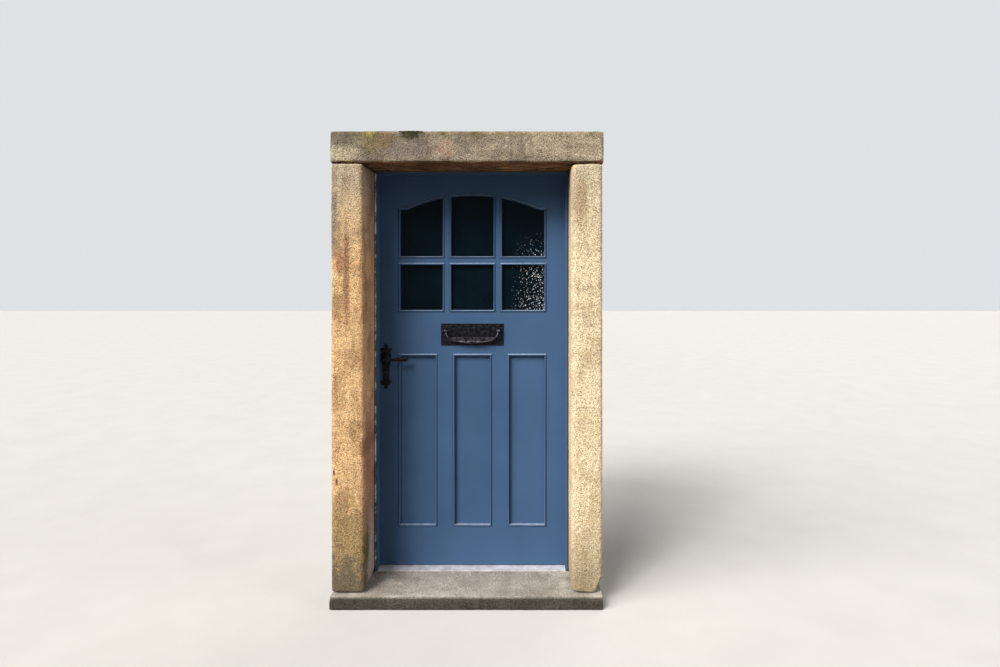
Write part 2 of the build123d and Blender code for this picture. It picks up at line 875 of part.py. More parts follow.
# Follower: a hub in the case's walls, with an arm that draws the latch back
arm_face = spindle_x + hub_arm_width / 2
with BuildPart() as lock_follower:
    with BuildSketch(front_plane(leaf_middle - case_thickness / 2)):
        with Locations((spindle_x, spindle_z)):
            Circle(hub_radius)
    extrude(amount=-case_thickness)
    with BuildSketch(front_plane(leaf_middle - bolt_width / 2)):
        bounds(spindle_x - hub_arm_width / 2, spindle_z, arm_face, spindle_z + hub_arm)
    extrude(amount=-bolt_width)
    with BuildSketch(front_plane(leaf_middle - case_thickness / 2)):
        with Locations((spindle_x, spindle_z)):
            Rectangle(spindle_size, spindle_size)
    extrude(amount=-case_thickness, mode=Mode.SUBTRACT)
save(lock_follower, "lock_follower")

# Latch bolt: bevelled head, and a tail with a lip behind the follower's arm
latch_tip = -leaf_half - latch_throw
latch_heel = -leaf_half + latch_height
latch_top = spindle_z + latch_rise + latch_height / 2
with BuildPart() as latch_bolt:
    with BuildSketch(Plane.XY.offset(latch_top - latch_height)):
        Polygon(
            (latch_tip, leaf_middle + bolt_width / 2),
            (latch_heel, leaf_middle + bolt_width / 2),
            (latch_heel, leaf_middle - bolt_width / 2),
            (-leaf_half, leaf_middle - bolt_width / 2),
            (latch_tip, leaf_middle + bolt_width / 4),
            align=None,
        )
    extrude(amount=latch_height)
    lip_start = arm_face + moving_gap
    lip_end = lip_start + hub_arm_width
    with BuildSketch(front_plane(leaf_middle - bolt_width / 2)):
        bounds(latch_heel - 1, latch_top - tail_height, lip_end, latch_top)
        bounds(lip_start, spindle_z + hub_arm - tail_height, lip_end, latch_top)
    extrude(amount=-bolt_width)
save(latch_bolt, "latch_bolt")

# Dead bolt, drawn back flush with the forend
with BuildPart() as dead_bolt:
    with BuildSketch(front_plane(leaf_middle - bolt_width / 2)):
        with Locations((-leaf_half + dead_length / 2, spindle_z - dead_drop)):
            Rectangle(dead_length, dead_height)
    extrude(amount=-bolt_width)
save(dead_bolt, "dead_bolt")

# Square spindle, from one lever through the follower to the other
spindle_reach = lever_stand / 2
with BuildPart() as spindle:
    with BuildSketch(front_plane(leaf_front - spindle_reach)):
        with Locations((spindle_x, spindle_z)):
            Rectangle(spindle_size, spindle_size)
    extrude(amount=-(leaf_thickness + 2 * spindle_reach))
save(spindle, "spindle")


def handle_plate(face, way):
    """Plate with a pointed petal and two curled petals at each end. Way -1 stands outwards."""
    with BuildSketch() as outline:
        with BuildLine():
            Spline(
                (0, plate_top),
                (petal_reach / 3, plate_top - tip_widest),
                (petal_reach / 6, plate_top - tip_notch),
                tangents=((0.5, -1), (-0.6, -1)),
            )
            Spline(
                (petal_reach / 6, plate_top - tip_notch),
                (petal_reach * 0.6, plate_top - petal_crest),
                (petal_reach, plate_top - petal_point),
                (petal_reach * 0.85, plate_top - petal_under),
                (petal_reach / 2, plate_top - petal_root),
                tangents=((1, 0.3), (-1, 0)),
            )
            Line((petal_reach / 2, plate_top - petal_root), (wing_half, plate_top - wing_top))
            Line((wing_half, plate_top - wing_top), (wing_half, 0))
            Spline((wing_half, 0), (body_half, -body_half), (waist_half, lower_root - plate_foot))
            Spline(
                (waist_half, lower_root - plate_foot),
                (lower_petal_reach * 0.85, lower_crest - plate_foot),
                (lower_petal_reach, lower_point - plate_foot),
                (lower_petal_reach * 0.7, lower_under - plate_foot),
                (lower_petal_reach / 4, lower_notch - plate_foot),
                tangents=((1, 0.2), (-1, -0.2)),
            )
            Spline(
                (lower_petal_reach / 4, lower_notch - plate_foot),
                (lower_petal_reach / 3, lower_tip_widest - plate_foot),
                (0, -plate_foot),
                tangents=((0.6, -1), (-0.5, -1)),
            )
            mirror(about=Plane.YZ)
        make_face()
    seat = Plane((spindle_x, face, spindle_z), x_dir=(1, 0, 0), z_dir=(0, way, 0))
    extrude(seat.location * outline.sketch, amount=plate_thickness)
    with BuildSketch(Plane((spindle_x, face + way * plate_thickness, spindle_z))) as dome:
        with BuildLine():
            ThreePointArc(
                (boss_radius, 0),
                (boss_radius * cos(radians(45)), way * boss_rise * sin(radians(45))),
                (0, way * boss_rise),
            )
            Polyline((0, way * boss_rise), (0, 0), (boss_radius, 0))
        make_face()
    revolve(dome.sketch, axis=Axis((spindle_x, 0, spindle_z), (0, 1, 0)))
    with BuildSketch(front_plane(leaf_front - lever_stand)) as ways:
        with Locations((spindle_x, spindle_z)):
            Circle(lever_neck + running)
        with Locations((spindle_x, spindle_z - keyhole_drop)):
            Circle(keyhole_radius)
        with Locations((spindle_x, spindle_z - keyhole_drop - keyhole_tail / 2)):
            Rectangle(keyhole_slot, keyhole_tail)
    extrude(ways.sketch, amount=-(leaf_thickness + 2 * lever_stand), mode=Mode.SUBTRACT)
    add(handle_screws.part, mode=Mode.SUBTRACT)


with BuildPart() as outer_handle_plate:
    handle_plate(leaf_front, -1)
save(outer_handle_plate, "outer_handle_plate")

with BuildPart() as inner_handle_plate:
    handle_plate(leaf_back, 1)
save(inner_handle_plate, "inner_handle_plate")


def lever(face, way):
    """Round neck, and an arm that swells from a narrow wrist to a flattened grip."""
    with BuildSketch(Plane((spindle_x, face, spindle_z), x_dir=(1, 0, 0), z_dir=(0, way, 0))) as neck:
        Circle(lever_neck)
    extrude(neck.sketch, amount=lever_stand)
    arm_y = face + way * (lever_stand - lever_neck)
    sections = []
    for along, deep, tall, rise in lever_stations:
        middle = (spindle_x + along * lever_length, arm_y, spindle_z + rise * lever_neck)
        with BuildSketch(Plane(middle, x_dir=(0, 1, 0), z_dir=(1, 0, 0))) as section:
            Ellipse(deep * lever_neck, tall * lever_neck)
        sections.append(section.sketch)
    loft(sections)
    with BuildSketch(Plane((spindle_x, face, spindle_z), x_dir=(1, 0, 0), z_dir=(0, way, 0))) as socket:
        Rectangle(spindle_size, spindle_size)
    extrude(socket.sketch, amount=spindle_reach, mode=Mode.SUBTRACT)


with BuildPart() as outer_lever:
    lever(leaf_front, -1)
save(outer_lever, "outer_lever")

with BuildPart() as inner_lever:
    lever(leaf_back, 1)
save(inner_lever, "inner_lever")

# Letterplate: slotted plate, ears for the flap's pin behind it and lugs for the knocker before it
letter_face = leaf_front - letter_thickness
flap_half = flap_width / 2
flap_pin_y = leaf_front + flap_pin_set
knocker_y = letter_face - knocker_stand
knocker_z = letter_mid + knocker_rise
lug_start = knocker_pivot + eye_width / 2 + moving_gap
ear_start = flap_half + flap_gap

with BuildPart() as letterplate:
    with BuildSketch(front_plane(letter_face)):
        with Locations((0, letter_mid)):
            Rectangle(letter_width, letter_height)
    extrude(amount=-letter_thickness)
    chamfer(letterplate.faces().sort_by(Axis.Y)[0].edges(), length=letter_thickness / 3)
    with BuildSketch(front_plane(letter_face)):
        bounds(-ear_start, flap_top - flap_height - flap_gap, ear_start, flap_top)
    extrude(amount=-letter_thickness, mode=Mode.SUBTRACT)
    with BuildSketch(front_plane(leaf_front)):
        for side in (-1, 1):
            with Locations((side * (ear_start + ear_width / 2), flap_top)):
                Rectangle(ear_width, 2 * flap_barrel)
    extrude(amount=-(flap_pin_set + flap_barrel))
    with BuildSketch(Plane.YZ.offset(-ear_start - ear_width)):
        with Locations((flap_pin_y, flap_top)):
            Circle(flap_pin_radius)
    extrude(amount=2 * (ear_start + ear_width), mode=Mode.SUBTRACT)
    for side in (-1, 1):
        with BuildSketch(Plane.YZ.offset(side * lug_start)):
            with Locations((knocker_y, knocker_z)):
                Circle(eye_radius)
            with Locations(((knocker_y + letter_face) / 2, knocker_z)):
                Rectangle(letter_face - knocker_y, 2 * eye_radius)
            with Locations((knocker_y, knocker_z)):
                Circle(knocker_pin, mode=Mode.SUBTRACT)
        extrude(amount=side * lug_width)
save(letterplate, "letterplate")

# Flap, hung behind the plate so that it swings inwards
with BuildPart() as letter_flap:
    with BuildSketch(front_plane(leaf_front - flap_gap / 2 - flap_thickness)):
        bounds(-flap_half, flap_top - flap_height, flap_half, flap_top - flap_gap)
    extrude(amount=-flap_thickness)
    with BuildSketch(Plane.YZ.offset(-flap_half)):
        with Locations((flap_pin_y, flap_top)):
            Circle(flap_barrel)
        Polygon(
            (leaf_front - flap_gap, flap_top - flap_gap),
            (flap_pin_y, flap_top - flap_gap),
            (flap_pin_y, flap_top - flap_barrel),
            (leaf_front - flap_gap, flap_top - flap_barrel),
            align=None,
        )
        with Locations((flap_pin_y, flap_top)):
            Circle(flap_pin_radius + running, mode=Mode.SUBTRACT)
    extrude(amount=flap_width)
save(letter_flap, "letter_flap")

# Inner letterplate, with a flap that lifts into the room
inner_high = flap_top - flap_pin_radius
inner_low = slot_low + flap_gap
inner_pin_y = leaf_back + inner_letter_thickness + moving_gap + inner_flap_barrel
inner_pin_z = inner_high + 2 * inner_flap_barrel
inner_flap_half = ear_start + inner_flap_overlap
inner_ear_start = inner_flap_half + moving_gap

with BuildPart() as inner_letterplate:
    with BuildSketch(front_plane(leaf_back)):
        with Locations((0, letter_mid)):
            Rectangle(inner_letter_width, inner_letter_height)
        with Locations((-bolt_spread, letter_mid), (bolt_spread, letter_mid)):
            Circle(bolt_radius, mode=Mode.SUBTRACT)
    extrude(amount=-inner_letter_thickness)
    rim = inner_letterplate.faces().sort_by(Axis.Y)[-1].outer_wire()
    chamfer(rim.edges(), length=inner_letter_thickness / 3)
    with BuildSketch(front_plane(leaf_back)):
        bounds(-ear_start, inner_low, ear_start, inner_high)
    extrude(amount=-inner_letter_thickness, mode=Mode.SUBTRACT)
    with BuildSketch(front_plane(leaf_back + inner_letter_thickness)):
        for side in (-1, 1):
            with Locations((side * (inner_ear_start + ear_width / 2), inner_pin_z)):
                Rectangle(ear_width, 2 * inner_flap_barrel)
    extrude(amount=-(2 * inner_flap_barrel + moving_gap))
    with BuildSketch(Plane.YZ.offset(-inner_ear_start - ear_width)):
        with Locations((inner_pin_y, inner_pin_z)):
            Circle(flap_pin_radius)
    extrude(amount=2 * (inner_ear_start + ear_width), mode=Mode.SUBTRACT)
save(inner_letterplate, "inner_letterplate")

with BuildPart() as inner_letter_flap:
    with BuildSketch(front_plane(leaf_back + inner_letter_thickness + moving_gap)):
        bounds(-inner_flap_half, inner_low - inner_flap_overlap, inner_flap_half, inner_pin_z)
    extrude(amount=-inner_flap_thickness)
    with BuildSketch(Plane.YZ.offset(-inner_flap_half)):
        with Locations((inner_pin_y, inner_pin_z)):
            Circle(inner_flap_barrel)
    extrude(amount=2 * inner_flap_half)
    with BuildSketch(Plane.YZ.offset(-inner_flap_half)):
        with Locations((inner_pin_y, inner_pin_z)):
            Circle(flap_pin_radius + running)
    extrude(amount=2 * inner_flap_half, mode=Mode.SUBTRACT)
save(inner_letter_flap, "inner_letter_flap")

# Pins of both flaps
with BuildPart() as flap_pins:
    with BuildSketch(Plane.YZ.offset(-ear_start - ear_width)):
        with Locations((flap_pin_y, flap_top)):
            Circle(flap_pin_radius)
    extrude(amount=2 * (ear_start + ear_width))
    with BuildSketch(Plane.YZ.offset(-inner_ear_start - ear_width)):
        with Locations((inner_pin_y, inner_pin_z)):
            Circle(flap_pin_radius)
    extrude(amount=2 * (inner_ear_start + ear_width))
save(flap_pins, "flap_pins")

# Bolts that draw the two letterplates together through the rail
with BuildPart() as letterplate_bolts:
    for side in (-1, 1):
        with BuildSketch(front_plane(leaf_front)):
            with Locations((side * bolt_spread, letter_mid)):
                Circle(bolt_radius)
        extrude(amount=-(leaf_thickness + inner_letter_thickness))
        with BuildSketch(front_plane(leaf_back + inner_letter_thickness)):
            with Locations((side * bolt_spread, letter_mid)):
                Circle(2 * bolt_radius)
        extrude(amount=-bolt_radius)
    fillet(letterplate_bolts.faces().sort_by(Axis.Y)[-2:].edges(), radius=bolt_radius / 2)
save(letterplate_bolts, "letterplate_bolts")

# Knocker: a dished crescent grip on two round arms that hang from the pins
grip_top = knocker_z - grip_top_drop
grip_front = knocker_y + grip_back - grip_thickness
grip_deep = knocker_bow - grip_top_drop
arm_half = knocker_arm / 2

with BuildPart() as knocker:
    with BuildSketch(front_plane(grip_front)):
        with BuildLine():
            grip_half = knocker_pivot - knocker_arm
            belly = knocker_z - knocker_bow * belly_depth_ratio
            Spline(
                (-grip_half, grip_top),
                (-knocker_pivot * belly_width_ratio, belly),
                (0, knocker_z - knocker_bow),
                (knocker_pivot * belly_width_ratio, belly),
                (grip_half, grip_top),
                tangents=((belly_turn_ratio, -1), (belly_turn_ratio, 1)),
            )
            Line((-grip_half, grip_top), (grip_half, grip_top))
        make_face()
    extrude(amount=-grip_thickness)
    fillet(knocker.faces().sort_by(Axis.Y)[0].edges(), radius=grip_round)
    with BuildSketch(Plane.YZ.offset(-knocker_pivot)):
        with Locations((grip_front - grip_hollow + grip_hollow_depth, grip_top - grip_deep / 2)):
            Circle(grip_hollow)
    extrude(amount=2 * knocker_pivot, mode=Mode.SUBTRACT)
    with BuildLine(front_plane(knocker_y)) as arm:
        Spline(
            (-knocker_pivot, knocker_z),
            (-knocker_pivot + knocker_arm * arm_bow_ratio, knocker_z - grip_top_drop / 2),
            (-knocker_pivot + knocker_arm * arm_reach_ratio, grip_top - arm_half),
            tangents=((0, -1), (1, -1)),
        )
    rings = []
    for along, thick in arm_rings:
        with BuildSketch(Plane(arm.line @ along, z_dir=arm.line % along)) as ring:
            Circle(arm_half * thick)
        rings.append(ring.sketch)
    sweep(sections=rings, path=arm.line, multisection=True)
    with BuildSketch(Plane.YZ.offset(-knocker_pivot - eye_width / 2)):
        with Locations((knocker_y, knocker_z)):
            Circle(eye_radius)
    extrude(amount=eye_width)
    mirror(about=Plane.YZ)
    with BuildSketch(Plane.YZ.offset(-knocker_pivot - eye_width)):
        with Locations((knocker_y, knocker_z)):
            Circle(knocker_pin + running)
    extrude(amount=2 * (knocker_pivot + eye_width), mode=Mode.SUBTRACT)
save(knocker, "knocker")

with BuildPart() as knocker_pins:
    for side in (-1, 1):
        with BuildSketch(Plane.YZ.offset(side * (knocker_pivot - eye_width / 2))):
            with Locations((knocker_y, knocker_z)):
                Circle(knocker_pin)
        extrude(amount=side * (eye_width + moving_gap + lug_width))
save(knocker_pins, "knocker_pins")
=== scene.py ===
import json
import random
from math import radians

import bmesh
import bpy
import numpy as np
from mathutils import Matrix, Vector, noise


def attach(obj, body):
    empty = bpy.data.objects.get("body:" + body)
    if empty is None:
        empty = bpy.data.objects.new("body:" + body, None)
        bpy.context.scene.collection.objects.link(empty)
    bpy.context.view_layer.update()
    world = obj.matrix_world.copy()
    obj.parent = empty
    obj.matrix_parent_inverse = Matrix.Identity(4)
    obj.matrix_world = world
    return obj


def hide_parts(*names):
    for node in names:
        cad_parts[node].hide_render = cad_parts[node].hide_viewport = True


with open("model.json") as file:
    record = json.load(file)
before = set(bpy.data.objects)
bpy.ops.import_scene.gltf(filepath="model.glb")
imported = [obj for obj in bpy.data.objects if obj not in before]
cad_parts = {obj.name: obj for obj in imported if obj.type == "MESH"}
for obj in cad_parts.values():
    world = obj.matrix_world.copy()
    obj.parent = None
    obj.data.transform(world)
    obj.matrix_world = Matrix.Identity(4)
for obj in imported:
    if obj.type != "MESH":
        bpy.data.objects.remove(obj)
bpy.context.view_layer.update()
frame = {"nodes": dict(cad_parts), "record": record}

MM = 0.001
scene = bpy.context.scene
nodes = frame["nodes"]

# The camera looks straight at the wall, a little right of the door, at eye height.
# Its shift stands in for the rising front of a lens kept level, so that uprights stay parallel.
CAMERA_PLACE = (287 * MM, -3025 * MM, 1436 * MM)
CAMERA_LENS = 24.77
CAMERA_SENSOR = 36
CAMERA_SHIFT = (-0.032, -0.0525)

# Each lamp's direction, strength and softness in degrees: a key and a wider one from further left, so
# that the recessed leaf darkens softly towards its left side and its head, a weak one for the left
# reveal, and one for the inside of the door, which the others don't reach.
LAMPS = {
    "key": ((0.5, 0.95, -0.95), 2.4, 22),
    "side": ((1.3, 0.95, -1.08), 3.15, 44),
    "fill": ((-1.0, 0.35, -0.35), 0.95, 40),
    "back": ((-0.5, -0.8, -0.45), 0.9, 60),
}
LAMP_COLOUR = (1.0, 0.98, 0.95)
SKY_COLOUR = (0.88, 0.94, 1.0, 1)
SKY_STRENGTH = 0.06
BACKDROP = (0.74, 0.76, 0.78, 1)
# The floor looks pale, but lights the object from below no more than grey paving does.
PAVING = (0.17, 0.165, 0.16, 1)
FLOOR_HALF = 30

# The leaf's outside face, the outer lines of its mouldings, and the bead's section: how far in from that
# line, and how deep behind the face.
LEAF_FACE = 285 * MM
PANEL_STEP, PANEL_HALF, PANEL_LOW, PANEL_HIGH = 262 * MM, 95 * MM, 255 * MM, 1087 * MM
LITE_STEP, LITE_HALF = 244.667 * MM, 112.333 * MM
LITE_LOW, LITE_MID, LITE_BAR = 1285 * MM, 1524 * MM, 1544 * MM
ARCH_CROWN, ARCH_SHOULDER, ARCH_RADIUS, ARCH_EASE = 1857 * MM, 1788 * MM, 794 * MM, 80 * MM
ARCH_POINTS = 25
BEAD = [(inset * MM, depth * MM) for inset, depth in (
    (0.4, 2.4), (0.4, 0.2), (3.2, -2.8), (5.8, -5.2), (7.4, -5.8), (8.8, -4.8), (9.8, -1.4), (10.4, 3.0),
    (10.7, 8.0), (10.8, 9.4), (6.0, 6.0))]
BEAD_SHARP = 50

# Edges of the CAD's own faces that turn further than this stay sharp.
CAD_SHARP = 32

# Where looks change across the door. In each pair a look starts at the first place and is full at the
# second: the stones' upper parts weather and the lintel's top is mossy, the right jamb's foot dries
# upwards, the glass's painted glints grow towards its lower right, and the mastic is pale on the left
# below the head.
WEATHERED_UP = (1750 * MM, 2150 * MM)
MOSSY_UP = (2040 * MM, 2100 * MM)
DRY_UP = (280 * MM, 540 * MM)
PAINTED_GLINTS_RIGHT, PAINTED_GLINTS_DOWN = (170 * MM, 350 * MM), (1700 * MM, 1500 * MM)
PALE_LEFT, PALE_DOWN = (0, -400 * MM), (1948 * MM, 1940 * MM)

# How far the stones' faces undulate, and how many waves, pecks and broken ledges there are to a metre.
HOLLOW = 2.5 * MM
WAVES = 4.5
COARSE_PECKS, FINE_PECKS = 34, 70
LEDGES_ALONG, LEDGES_DEEP = 9, 45
# A coarse peck's depth against a fine one's, and how steeply a ledge breaks off.
COARSE_DEPTH, LEDGE_BREAK = 0.6, 3
# The lintel's ledges begin behind this lip, on faces whose normal points down by more than this.
LEDGE_LIP, LEDGE_NORMAL = 20 * MM, -0.6
# The left jamb is worn rounder below this height, and the right one to the left of this line.
ROUNDED_BELOW, ROUNDED_LEFT_OF = 1100 * MM, 530 * MM
# Between these depths the stones go over from worn to as cut, since behind them lie the wall and the frame.
BEDDED_FROM, BEDDED_TO = 190 * MM, 235 * MM

# The tuft of moss: its middle, its half width, how far it hangs down and how much further back at its
# foot. Then its cushions: how many, how deep behind the lintel's face, how big, and their proportions.
MOSS_MIDDLE, MOSS_TOP = -245 * MM, 2095.5 * MM
MOSS_HALF, MOSS_DROP, MOSS_LEAN = 55 * MM, 30 * MM, 0.1
MOSS_COUNT, MOSS_DEPTHS, MOSS_SIZES = 420, (-1 * MM, 6 * MM), (1.2 * MM, 3 * MM)
MOSS_SHAPE = (1, 0.7, 0.6)


def link(obj):
    scene.collection.objects.link(obj)
    return obj


def add_mesh(name, shape, material):
    """Turns a bmesh into an object of one material."""
    mesh = bpy.data.meshes.new(name)
    shape.to_mesh(mesh)
    shape.free()
    mesh.materials.append(material)
    return link(bpy.data.objects.new(name, mesh))


def smooth(obj, sharp=None):
    """Shades an object smooth. Edges that turn further than the angle sharp, in degrees, stay sharp."""
    for polygon in obj.data.polygons:
        polygon.use_smooth = True
    if sharp:
        obj.modifiers.new("edges", "EDGE_SPLIT").split_angle = radians(sharp)


def clamp(value):
    return min(1.0, max(0.0, value))


def rgb(red, green, blue):
    """A display colour (0 to 255) as the linear colour that renders as it."""
    def linear(value):
        value /= 255
        return value / 12.92 if value <= 0.04045 else ((value + 0.055) / 1.055) ** 2.4
    return (linear(red), linear(green), linear(blue), 1)


def dimmed(colour, part):
    return tuple(part * value for value in colour[:3]) + (1,)


def make_camera():
    data = bpy.data.cameras.new("camera")
    data.lens = CAMERA_LENS
    data.sensor_width = CAMERA_SENSOR
    data.shift_x, data.shift_y = CAMERA_SHIFT
    camera = link(bpy.data.objects.new("camera", data))
    camera.location = CAMERA_PLACE
    camera.rotation_euler = (radians(90), 0, 0)
    scene.camera = camera


def make_lights():
    for name, (direction, strength, softness) in LAMPS.items():
        sun = bpy.data.lights.new(name, "SUN")
        sun.energy = strength
        sun.angle = radians(softness)
        sun.color = LAMP_COLOUR
        lamp = link(bpy.data.objects.new(name, sun))
        lamp.rotation_euler = Vector(direction).to_track_quat("-Z", "Y").to_euler()


def picture_rays(tree):
    """1 for rays that show a surface (camera, glossy and transmission), and 0 for rays that only light."""
    rays = tree.nodes.new("ShaderNodeLightPath")
    seen = rays.outputs["Is Camera Ray"]
    for name in ("Is Glossy Ray", "Is Transmission Ray"):
        either = tree.nodes.new("ShaderNodeMath")
        either.operation = "MAXIMUM"
        tree.links.new(seen, either.inputs[0])
        tree.links.new(rays.outputs[name], either.inputs[1])
        seen = either.outputs[0]
    return seen


def make_world():
    """The sky lights the object weakly, and shows as a pale backdrop to the camera and in reflections."""
    world = bpy.data.worlds.new("world")
    world.use_nodes = True
    tree = world.node_tree
    sky = tree.nodes["Background"]
    sky.inputs["Color"].default_value = SKY_COLOUR
    sky.inputs["Strength"].default_value = SKY_STRENGTH
    backdrop = tree.nodes.new("ShaderNodeBackground")
    backdrop.inputs["Color"].default_value = BACKDROP
    shown = tree.nodes.new("ShaderNodeMixShader")
    tree.links.new(picture_rays(tree), shown.inputs[0])
    tree.links.new(sky.outputs[0], shown.inputs[1])
    tree.links.new(backdrop.outputs[0], shown.inputs[2])
    tree.links.new(shown.outputs[0], tree.nodes["World Output"].inputs["Surface"])
    scene.world = world
    scene.view_settings.view_transform = "Standard"


class Shader:
    """A small helper that builds one node material."""

    SOCKETS = {"metallic": "Metallic", "roughness": "Roughness", "specular": "Specular IOR Level",
               "ior": "IOR", "alpha": "Alpha"}

    def __init__(self, name):
        self.material = bpy.data.materials.new(name)
        self.material.use_nodes = True
        self.tree = self.material.node_tree
        self.principled = self.tree.nodes["Principled BSDF"]

    def feed(self, socket, value):
        """Links a socket to another node's output, or sets it to a value."""
        if hasattr(value, "links"):
            self.tree.links.new(value, socket)
        else:
            socket.default_value = value

    def node(self, kind, inputs, **settings):
        made = self.tree.nodes.new(kind)
        for key, value in settings.items():
            setattr(made, key, value)
        for key, value in inputs.items():
            self.feed(made.inputs[key], value)
        return made

    def set(self, **values):
        """Sets what is the same all over the surface."""
        for key, value in values.items():
            self.feed(self.principled.inputs[self.SOCKETS[key]], value)

    def colour(self, value):
        self.feed(self.principled.inputs["Base Color"], value)

    def rough(self, value):
        self.feed(self.principled.inputs["Roughness"], value)

    def bump(self, height, distance, strength):
        made = self.node("ShaderNodeBump", {"Height": height, "Distance": distance, "Strength": strength})
        self.feed(self.principled.inputs["Normal"], made.outputs["Normal"])

    def place(self, scale=(1, 1, 1), offset=(0, 0, 0)):
        """Object coordinates, which are the door's own metres."""
        own = self.node("ShaderNodeTexCoord", {}).outputs["Object"]
        made = self.node("ShaderNodeMapping", {"Vector": own, "Scale": scale, "Location": offset})
        return made.outputs["Vector"]

    def noise(self, vector, scale, detail=4.0, roughness=0.55, distortion=0.0):
        return self.node("ShaderNodeTexNoise", {
            "Vector": vector, "Scale": scale, "Detail": detail, "Roughness": roughness,
            "Distortion": distortion}).outputs["Fac"]

    def cells(self, vector, feature, **inputs):
        """How far a place is from the middle of its cell."""
        inputs = {"Vector": vector} | {key.title(): value for key, value in inputs.items()}
        return self.node("ShaderNodeTexVoronoi", inputs, feature=feature).outputs["Distance"]

    def ramp(self, factor, *stops):
        made = self.node("ShaderNodeValToRGB", {"Fac": factor})
        elements = made.color_ramp.elements
        while len(elements) < len(stops):
            elements.new(0.5)
        for element, (place, colour) in zip(elements, stops):
            element.position = place
            element.color = colour if hasattr(colour, "__len__") else (colour, colour, colour, 1)
        return made.outputs["Color"]

    def mix(self, factor, first, second, blend="MIX"):
        inputs = {"Factor": factor, 6: first, 7: second}
        return self.node("ShaderNodeMix", inputs, data_type="RGBA", blend_type=blend).outputs[2]

    def tint(self, tone, tint, amount=1.0):
        return self.mix(amount, tone, tint, "MULTIPLY")

    def math(self, operation, first, second, clamp=False):
        made = self.node("ShaderNodeMath", {0: first, 1: second}, operation=operation, use_clamp=clamp)
        return made.outputs[0]

    def times(self, first, second):
        return self.math("MULTIPLY", first, second)

    def plus(self, first, second):
        return self.math("ADD", first, second)

    def axis(self, vector, letter):
        return self.node("ShaderNodeSeparateXYZ", {"Vector": vector}).outputs[letter]

    def facing(self, letter):
        """How far a face looks along an axis, from -1 to 1."""
        return self.axis(self.node("ShaderNodeNewGeometry", {}).outputs["Normal"], letter)

    def span(self, value, low, high):
        """0 below low, 1 above high, and even between."""
        inputs = {"Value": value, "From Min": low, "From Max": high}
        return self.node("ShaderNodeMapRange", inputs).outputs["Result"]

    def patch(self, spot, size, grain):
        """1 inside a ragged oval round a spot, and 0 away from it.

        A spot is (x, z), or (x, y, z) where its depth counts too.
        """
        if len(spot) == 2:
            spot, size = (spot[0], 0, spot[1]), (size[0], 1e6, size[1])
        scale = tuple(1 / part for part in size)
        vector = self.place(scale=scale, offset=tuple(-at * part for at, part in zip(spot, scale)))
        away = self.node("ShaderNodeVectorMath", {0: vector}, operation="LENGTH").outputs["Value"]
        cloud = self.noise(self.place(), scale=grain, detail=4, roughness=0.75)
        ragged = self.times(self.math("SUBTRACT", cloud, 0.5), 2.2)
        return self.span(self.plus(away, ragged), 1.2, 0.55)


def blue_paint():
    """Satin oil paint brushed over timber: faint brush marks, clouding, and dust and a painted highlight on
    the ledges.
    """
    paint = Shader("blue_paint")
    place = paint.place()
    brush = paint.noise(paint.place(scale=(14, 14, 1.4)), scale=40, detail=3, roughness=0.6)
    cloud = paint.noise(place, scale=3.2, detail=3)
    tone = paint.ramp(cloud, (0.3, rgb(62, 88, 121)), (0.7, rgb(69, 96, 131)))
    tone = paint.mix(paint.times(brush, 0.12), tone, rgb(84, 116, 154))
    speck = paint.ramp(paint.noise(place, scale=60, detail=5, roughness=0.7), (0.4, 0.45), (0.62, 1))
    # Painted highlight: faces that look up are lightened towards a pale blue, partly as dust and partly as
    # light from above.
    dust_and_highlight = paint.times(paint.span(paint.facing("Z"), 0.25, 0.6), speck)
    paint.colour(paint.mix(paint.times(dust_and_highlight, 0.8), tone, rgb(160, 175, 198)))
    paint.set(specular=0.09)
    paint.rough(paint.ramp(cloud, (0.3, 0.36), (0.7, 0.46)))
    relief = paint.plus(paint.times(brush, 0.6), paint.noise(place, scale=180, detail=2))
    paint.bump(relief, distance=0.25 * MM, strength=0.6)
    return paint.material


def hammered_iron(name, dark, pale, roughness, distance, metallic):
    """Black waxed malleable iron with the shallow facets of a hammer."""
    iron = Shader(name)
    place = iron.place()
    facets = iron.cells(place, "SMOOTH_F1", scale=75, smoothness=0.35)
    cloud = iron.noise(place, scale=75, detail=4)
    # The colour's pale clouds are partly the iron's uneven tone and partly painted glints.
    iron.colour(iron.ramp(cloud, (0.42, dark), (0.66, pale)))
    iron.set(metallic=metallic, specular=0.1)
    iron.rough(iron.ramp(cloud, (0.3, roughness - 0.1), (0.75, roughness + 0.12)))
    iron.bump(iron.plus(facets, iron.times(cloud, 0.15)), distance, strength=0.7)
    return iron.material


def plain_metal(name, colour, roughness, metallic=1.0):
    """Machined or rolled metal with a faint drawn grain."""
    metal = Shader(name)
    grain = metal.noise(metal.place(scale=(6, 6, 90)), scale=30, detail=3)
    cloud = metal.noise(metal.place(), scale=18, detail=4)
    metal.colour(metal.ramp(cloud, (0.35, dimmed(colour, 0.62)), (0.65, colour)))
    metal.set(metallic=metallic)
    metal.rough(metal.ramp(grain, (0.3, roughness - 0.08), (0.7, roughness + 0.08)))
    metal.bump(grain, distance=0.2 * MM, strength=0.5)
    return metal.material


